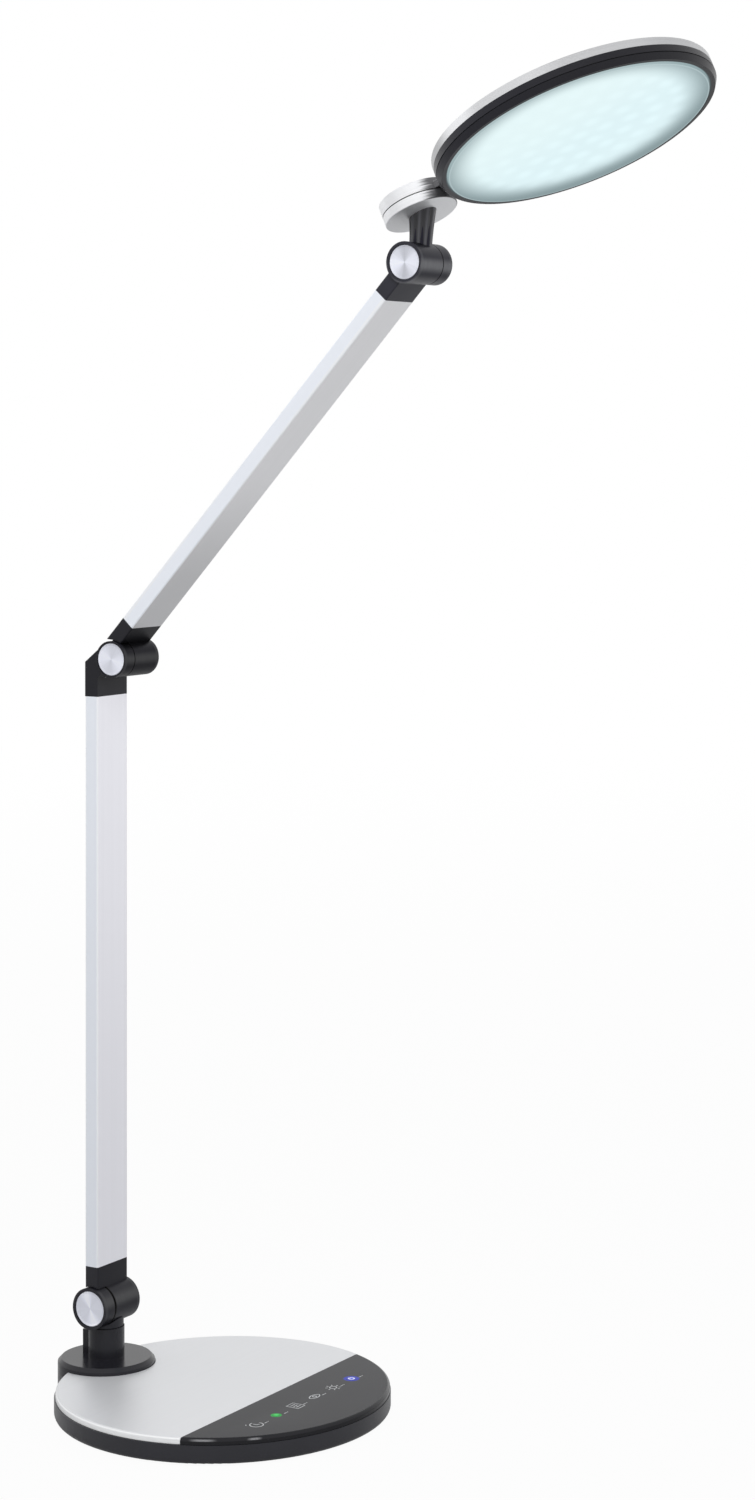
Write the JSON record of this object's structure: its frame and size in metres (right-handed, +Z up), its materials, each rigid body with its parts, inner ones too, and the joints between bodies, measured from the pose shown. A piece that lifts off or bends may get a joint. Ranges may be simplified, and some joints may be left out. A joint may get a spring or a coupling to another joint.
{
  "type": "desk lamp",
  "caption": "LED desk lamp: round weighted base with touch panel, swivelling column, two flat hinged arms and a round light head on a swivel disc.",
  "frame": {"origin": "centre of the round base's underside, on the desk", "axes": "+Z up, control panel towards -Y, swivel column towards +Y, hinge axes along X"},
  "size_m": [0.2, 0.4317, 0.7967],
  "materials": {
    "foot_rubber": "matte rubber",
    "black_plastic": "satin black moulding",
    "weight_steel": "plain steel plate",
    "cover_metal": "fine brushed",
    "panel_plastic": "matt dark grey",
    "board_green": "circuit board",
    "green_lens": "lit clear lens",
    "blue_lens": "lit clear lens",
    "fastener_steel": "zinc plated",
    "washer_nylon": "nylon",
    "cap_metal": "spun",
    "arm_metal": "satin anodised",
    "disc_metal": "brushed",
    "wire_plastic": "wire jacket",
    "back_metal": "satin",
    "diffuser_plastic": "frosted, lit",
    "led_board_metal": "white solder mask",
    "chip_plastic": "LED chip"
  },
  "bodies": {
    "base": {"base_pad": "foot_rubber", "bottom_cover": "black_plastic", "base_weight": "weight_steel", "base_housing": "black_plastic", "top_cover": "cover_metal", "control_panel": "panel_plastic", "touch_board": "board_green", "charge_light": "green_lens", "power_light": "blue_lens", "power_inlet": "black_plastic", "base_screws": "fastener_steel", "pedestal": "black_plastic", "pedestal_screws": "fastener_steel"},
    "neck": {"hinge_neck": "black_plastic", "swivel_washer": "washer_nylon", "lock_washer": "fastener_steel", "swivel_nut": "fastener_steel", "lower_hinge_bolt": "fastener_steel", "lower_hinge_washer": "washer_nylon", "lower_hinge_spring": "fastener_steel", "lower_hinge_nut": "fastener_steel", "lower_hinge_front_cap": "cap_metal"},
    "lower_arm": {"lower_hinge_rear_cap": "cap_metal", "lower_arm_foot": "black_plastic", "lower_arm_tube": "arm_metal", "lower_arm_head": "black_plastic", "lower_arm_wire": "wire_plastic", "elbow_bolt": "fastener_steel", "elbow_washer": "washer_nylon", "elbow_spring": "fastener_steel", "elbow_nut": "fastener_steel", "elbow_front_cap": "cap_metal"},
    "upper_arm": {"elbow_rear_cap": "cap_metal", "upper_arm_foot": "black_plastic", "upper_arm_tube": "arm_metal", "upper_arm_head": "black_plastic", "upper_arm_wire": "wire_plastic", "head_hinge_bolt": "fastener_steel", "head_hinge_washer": "washer_nylon", "head_hinge_spring": "fastener_steel", "head_hinge_nut": "fastener_steel", "head_hinge_rear_cap": "cap_metal"},
    "stem": {"head_hinge_front_cap": "cap_metal", "head_stem": "black_plastic", "swivel_disc": "disc_metal", "swivel_bolt": "fastener_steel", "stem_screws": "fastener_steel", "disc_washer": "washer_nylon", "disc_spring": "fastener_steel", "disc_nut": "fastener_steel"},
    "head": {"head_bracket": "disc_metal", "bracket_cap": "disc_metal", "bracket_screws": "fastener_steel", "back_cover": "back_metal", "bezel_ring": "black_plastic", "diffuser": "diffuser_plastic", "led_board": "led_board_metal", "led_chips": "chip_plastic", "board_screws": "fastener_steel"}
  },
  "joints": [
    {"name": "base_swivel", "type": "hinge", "parent": "base", "child": "neck", "pos_m": [0, 0.087, 0.0385], "axis": [0, 0, 1], "range_deg": [-90, 90]},
    {"name": "lower_hinge", "type": "hinge", "parent": "neck", "child": "lower_arm", "pos_m": [0, 0.087, 0.0522], "axis": [-1, 0, 0], "range_deg": [-45, 30]},
    {"name": "elbow", "type": "hinge", "parent": "lower_arm", "child": "upper_arm", "pos_m": [0, 0.071, 0.4466], "axis": [1, 0, 0], "range_deg": [-43, 90]},
    {"name": "head_pitch", "type": "hinge", "parent": "upper_arm", "child": "stem", "pos_m": [0, -0.13735, 0.68029], "axis": [-1, 0, 0], "range_deg": [-70, 70]},
    {"name": "head_swivel", "type": "hinge", "parent": "stem", "child": "head", "pos_m": [0, -0.13945, 0.707], "axis": [0.0628, 0.4297, 0.9008], "range_deg": [-90, 90]}
  ]
}
